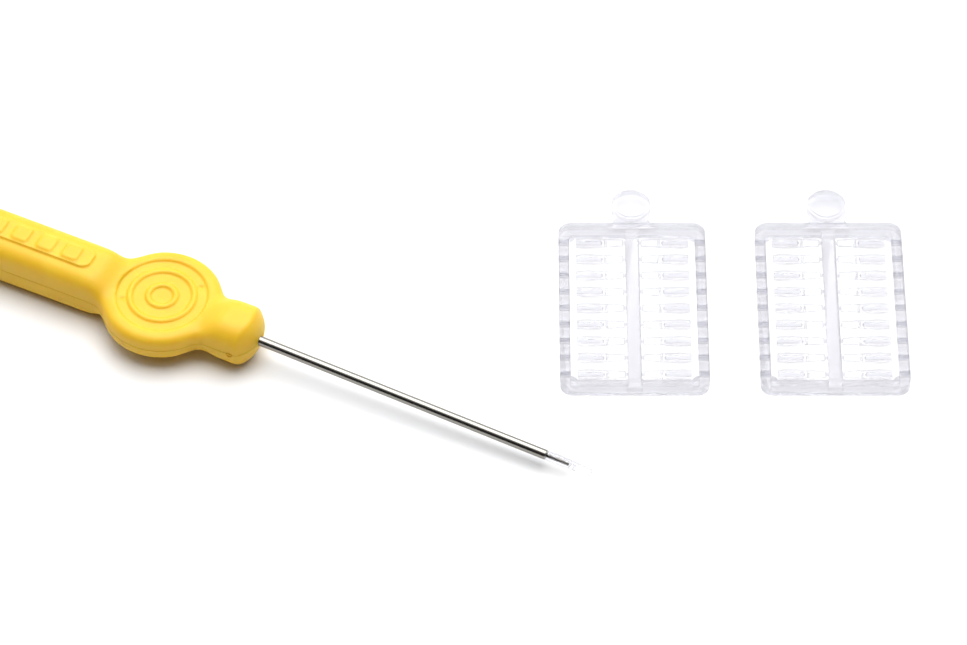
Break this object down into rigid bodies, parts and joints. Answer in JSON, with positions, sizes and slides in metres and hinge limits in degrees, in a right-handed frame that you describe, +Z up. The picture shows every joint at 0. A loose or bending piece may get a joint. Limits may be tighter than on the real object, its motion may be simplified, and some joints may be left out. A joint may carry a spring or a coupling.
{
  "type": "baiting needle set",
  "caption": "Angler's baiting needle with a moulded yellow grip and stepped steel pin, beside clear cards of hollow bait stops that pick off one by one.",
  "frame": {"origin": "on the table under the middle of the grip bar's flat underside", "axes": "+X along the laid-out set, from the tool towards the cards; +Z up from the table; +Y towards the cards' tabs"},
  "size_m": [0.155, 0.0558, 0.0089],
  "materials": {
    "handle_yellow": "soft satin moulding",
    "needle_steel": "drawn and polished wire",
    "clear_card": "clear moulding",
    "clear_stop": "clear moulding"
  },
  "bodies": {
    "tool": {"handle": "handle_yellow", "needle": "needle_steel"},
    "loaded_stop": {"loaded_stop": "clear_stop"},
    "card_a": {"card_a_frame": "clear_card"},
    "card_b": {"card_b_frame": "clear_card"},
    "card_a_stop_01": {"card_a_stop_01": "clear_stop"},
    "card_a_stop_02": {"card_a_stop_02": "clear_stop"},
    "card_a_stop_03": {"card_a_stop_03": "clear_stop"},
    "card_a_stop_04": {"card_a_stop_04": "clear_stop"},
    "card_a_stop_05": {"card_a_stop_05": "clear_stop"},
    "card_a_stop_06": {"card_a_stop_06": "clear_stop"},
    "card_a_stop_07": {"card_a_stop_07": "clear_stop"},
    "card_a_stop_08": {"card_a_stop_08": "clear_stop"},
    "card_a_stop_09": {"card_a_stop_09": "clear_stop"},
    "card_a_stop_10": {"card_a_stop_10": "clear_stop"},
    "card_a_stop_11": {"card_a_stop_11": "clear_stop"},
    "card_a_stop_12": {"card_a_stop_12": "clear_stop"},
    "card_a_stop_13": {"card_a_stop_13": "clear_stop"},
    "card_a_stop_14": {"card_a_stop_14": "clear_stop"},
    "card_a_stop_15": {"card_a_stop_15": "clear_stop"},
    "card_a_stop_16": {"card_a_stop_16": "clear_stop"},
    "card_a_stop_17": {"card_a_stop_17": "clear_stop"},
    "card_a_stop_18": {"card_a_stop_18": "clear_stop"},
    "card_b_stop_01": {"card_b_stop_01": "clear_stop"},
    "card_b_stop_02": {"card_b_stop_02": "clear_stop"},
    "card_b_stop_03": {"card_b_stop_03": "clear_stop"},
    "card_b_stop_04": {"card_b_stop_04": "clear_stop"},
    "card_b_stop_05": {"card_b_stop_05": "clear_stop"},
    "card_b_stop_06": {"card_b_stop_06": "clear_stop"},
    "card_b_stop_07": {"card_b_stop_07": "clear_stop"},
    "card_b_stop_08": {"card_b_stop_08": "clear_stop"},
    "card_b_stop_09": {"card_b_stop_09": "clear_stop"},
    "card_b_stop_10": {"card_b_stop_10": "clear_stop"},
    "card_b_stop_11": {"card_b_stop_11": "clear_stop"},
    "card_b_stop_12": {"card_b_stop_12": "clear_stop"},
    "card_b_stop_13": {"card_b_stop_13": "clear_stop"},
    "card_b_stop_14": {"card_b_stop_14": "clear_stop"},
    "card_b_stop_15": {"card_b_stop_15": "clear_stop"},
    "card_b_stop_16": {"card_b_stop_16": "clear_stop"},
    "card_b_stop_17": {"card_b_stop_17": "clear_stop"},
    "card_b_stop_18": {"card_b_stop_18": "clear_stop"}
  },
  "joints": [
    {"name": "loaded_stop_slide", "type": "slide", "parent": "tool", "child": "loaded_stop", "axis": [0.9019, -0.4302, -0.0401], "range_m": [0, 0.012]},
    {"name": "card_a_lift", "type": "slide", "parent": "tool", "child": "card_a", "axis": [0, 0, 1], "range_m": [0, 0.03]},
    {"name": "card_b_lift", "type": "slide", "parent": "tool", "child": "card_b", "axis": [0, 0, 1], "range_m": [0, 0.03]},
    {"name": "card_a_stop_01_lift", "type": "slide", "parent": "card_a", "child": "card_a_stop_01", "axis": [0, 0, 1], "range_m": [0, 0.01]},
    {"name": "card_a_stop_02_lift", "type": "slide", "parent": "card_a", "child": "card_a_stop_02", "axis": [0, 0, 1], "range_m": [0, 0.01]},
    {"name": "card_a_stop_03_lift", "type": "slide", "parent": "card_a", "child": "card_a_stop_03", "axis": [0, 0, 1], "range_m": [0, 0.01]},
    {"name": "card_a_stop_04_lift", "type": "slide", "parent": "card_a", "child": "card_a_stop_04", "axis": [0, 0, 1], "range_m": [0, 0.01]},
    {"name": "card_a_stop_05_lift", "type": "slide", "parent": "card_a", "child": "card_a_stop_05", "axis": [0, 0, 1], "range_m": [0, 0.01]},
    {"name": "card_a_stop_06_lift", "type": "slide", "parent": "card_a", "child": "card_a_stop_06", "axis": [0, 0, 1], "range_m": [0, 0.01]},
    {"name": "card_a_stop_07_lift", "type": "slide", "parent": "card_a", "child": "card_a_stop_07", "axis": [0, 0, 1], "range_m": [0, 0.01]},
    {"name": "card_a_stop_08_lift", "type": "slide", "parent": "card_a", "child": "card_a_stop_08", "axis": [0, 0, 1], "range_m": [0, 0.01]},
    {"name": "card_a_stop_09_lift", "type": "slide", "parent": "card_a", "child": "card_a_stop_09", "axis": [0, 0, 1], "range_m": [0, 0.01]},
    {"name": "card_a_stop_10_lift", "type": "slide", "parent": "card_a", "child": "card_a_stop_10", "axis": [0, 0, 1], "range_m": [0, 0.01]},
    {"name": "card_a_stop_11_lift", "type": "slide", "parent": "card_a", "child": "card_a_stop_11", "axis": [0, 0, 1], "range_m": [0, 0.01]},
    {"name": "card_a_stop_12_lift", "type": "slide", "parent": "card_a", "child": "card_a_stop_12", "axis": [0, 0, 1], "range_m": [0, 0.01]},
    {"name": "card_a_stop_13_lift", "type": "slide", "parent": "card_a", "child": "card_a_stop_13", "axis": [0, 0, 1], "range_m": [0, 0.01]},
    {"name": "card_a_stop_14_lift", "type": "slide", "parent": "card_a", "child": "card_a_stop_14", "axis": [0, 0, 1], "range_m": [0, 0.01]},
    {"name": "card_a_stop_15_lift", "type": "slide", "parent": "card_a", "child": "card_a_stop_15", "axis": [0, 0, 1], "range_m": [0, 0.01]},
    {"name": "card_a_stop_16_lift", "type": "slide", "parent": "card_a", "child": "card_a_stop_16", "axis": [0, 0, 1], "range_m": [0, 0.01]},
    {"name": "card_a_stop_17_lift", "type": "slide", "parent": "card_a", "child": "card_a_stop_17", "axis": [0, 0, 1], "range_m": [0, 0.01]},
    {"name": "card_a_stop_18_lift", "type": "slide", "parent": "card_a", "child": "card_a_stop_18", "axis": [0, 0, 1], "range_m": [0, 0.01]},
    {"name": "card_b_stop_01_lift", "type": "slide", "parent": "card_b", "child": "card_b_stop_01", "axis": [0, 0, 1], "range_m": [0, 0.01]},
    {"name": "card_b_stop_02_lift", "type": "slide", "parent": "card_b", "child": "card_b_stop_02", "axis": [0, 0, 1], "range_m": [0, 0.01]},
    {"name": "card_b_stop_03_lift", "type": "slide", "parent": "card_b", "child": "card_b_stop_03", "axis": [0, 0, 1], "range_m": [0, 0.01]},
    {"name": "card_b_stop_04_lift", "type": "slide", "parent": "card_b", "child": "card_b_stop_04", "axis": [0, 0, 1], "range_m": [0, 0.01]},
    {"name": "card_b_stop_05_lift", "type": "slide", "parent": "card_b", "child": "card_b_stop_05", "axis": [0, 0, 1], "range_m": [0, 0.01]},
    {"name": "card_b_stop_06_lift", "type": "slide", "parent": "card_b", "child": "card_b_stop_06", "axis": [0, 0, 1], "range_m": [0, 0.01]},
    {"name": "card_b_stop_07_lift", "type": "slide", "parent": "card_b", "child": "card_b_stop_07", "axis": [0, 0, 1], "range_m": [0, 0.01]},
    {"name": "card_b_stop_08_lift", "type": "slide", "parent": "card_b", "child": "card_b_stop_08", "axis": [0, 0, 1], "range_m": [0, 0.01]},
    {"name": "card_b_stop_09_lift", "type": "slide", "parent": "card_b", "child": "card_b_stop_09", "axis": [0, 0, 1], "range_m": [0, 0.01]},
    {"name": "card_b_stop_10_lift", "type": "slide", "parent": "card_b", "child": "card_b_stop_10", "axis": [0, 0, 1], "range_m": [0, 0.01]},
    {"name": "card_b_stop_11_lift", "type": "slide", "parent": "card_b", "child": "card_b_stop_11", "axis": [0, 0, 1], "range_m": [0, 0.01]},
    {"name": "card_b_stop_12_lift", "type": "slide", "parent": "card_b", "child": "card_b_stop_12", "axis": [0, 0, 1], "range_m": [0, 0.01]},
    {"name": "card_b_stop_13_lift", "type": "slide", "parent": "card_b", "child": "card_b_stop_13", "axis": [0, 0, 1], "range_m": [0, 0.01]},
    {"name": "card_b_stop_14_lift", "type": "slide", "parent": "card_b", "child": "card_b_stop_14", "axis": [0, 0, 1], "range_m": [0, 0.01]},
    {"name": "card_b_stop_15_lift", "type": "slide", "parent": "card_b", "child": "card_b_stop_15", "axis": [0, 0, 1], "range_m": [0, 0.01]},
    {"name": "card_b_stop_16_lift", "type": "slide", "parent": "card_b", "child": "card_b_stop_16", "axis": [0, 0, 1], "range_m": [0, 0.01]},
    {"name": "card_b_stop_17_lift", "type": "slide", "parent": "card_b", "child": "card_b_stop_17", "axis": [0, 0, 1], "range_m": [0, 0.01]},
    {"name": "card_b_stop_18_lift", "type": "slide", "parent": "card_b", "child": "card_b_stop_18", "axis": [0, 0, 1], "range_m": [0, 0.01]}
  ]
}
